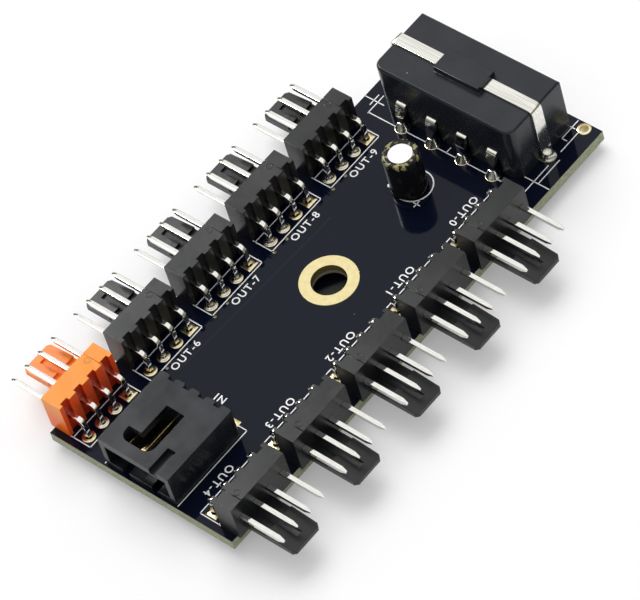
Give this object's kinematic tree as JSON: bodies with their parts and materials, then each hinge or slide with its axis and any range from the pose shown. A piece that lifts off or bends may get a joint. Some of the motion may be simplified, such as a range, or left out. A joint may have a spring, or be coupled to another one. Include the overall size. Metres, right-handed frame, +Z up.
{
  "type": "pc fan controller hub",
  "caption": "Flat fan hub: a dark circuit board edged with right-angle fan headers, with a bevelled power inlet at one end and a latched signal inlet at the other.",
  "frame": {"origin": "centre of the mounting hole on the board's top face", "axes": "+X along the board towards the power inlet, +Y towards the row with the coloured header, +Z up out of the board"},
  "size_m": [0.0748, 0.0482, 0.0132],
  "materials": {
    "solder_mask": "semi-gloss black solder mask over glass-fibre",
    "gold_plating": "gold-plated copper",
    "black_plastic": "moulded, satin",
    "orange_plastic": "moulded, satin",
    "grey_plastic": "moulded, satin",
    "power_plastic": "moulded, satin",
    "gold_pins": "gold flash",
    "tinned_pins": "bright tin",
    "tinned_strap": "bright tin",
    "solder": "shiny solder",
    "aluminium_can": "bright",
    "sleeve": "shrunk film, glossy",
    "bung_rubber": "matt"
  },
  "bodies": {
    "root": {"capacitor_bung": "bung_rubber", "capacitor_can": "aluminium_can", "capacitor_leads": "tinned_pins", "capacitor_sleeve": "sleeve", "capacitor_solder": "solder", "circuit_board": "solder_mask", "fan_header_0_housing": "black_plastic", "fan_header_0_pins": "tinned_pins", "fan_header_0_solder": "solder", "fan_header_1_housing": "black_plastic", "fan_header_1_pins": "tinned_pins", "fan_header_1_solder": "solder", "fan_header_2_housing": "black_plastic", "fan_header_2_pins": "tinned_pins", "fan_header_2_solder": "solder", "fan_header_3_housing": "black_plastic", "fan_header_3_pins": "tinned_pins", "fan_header_3_solder": "solder", "fan_header_4_housing": "black_plastic", "fan_header_4_pins": "tinned_pins", "fan_header_4_solder": "solder", "fan_header_5_housing": "orange_plastic", "fan_header_5_pins": "tinned_pins", "fan_header_5_solder": "solder", "fan_header_6_housing": "black_plastic", "fan_header_6_pins": "tinned_pins", "fan_header_6_solder": "solder", "fan_header_7_housing": "black_plastic", "fan_header_7_pins": "tinned_pins", "fan_header_7_solder": "solder", "fan_header_8_housing": "black_plastic", "fan_header_8_pins": "tinned_pins", "fan_header_8_solder": "solder", "fan_header_9_housing": "black_plastic", "fan_header_9_pins": "tinned_pins", "fan_header_9_solder": "solder", "input_connector_housing": "grey_plastic", "input_connector_pins": "gold_pins", "input_connector_solder": "solder", "mounting_hole_plating": "gold_plating", "power_connector_housing": "power_plastic", "power_connector_solder": "solder", "power_connector_strap": "tinned_strap", "power_contact_1": "tinned_pins", "power_contact_2": "tinned_pins", "power_contact_3": "tinned_pins", "power_contact_4": "tinned_pins"}
  },
  "joints": []
}
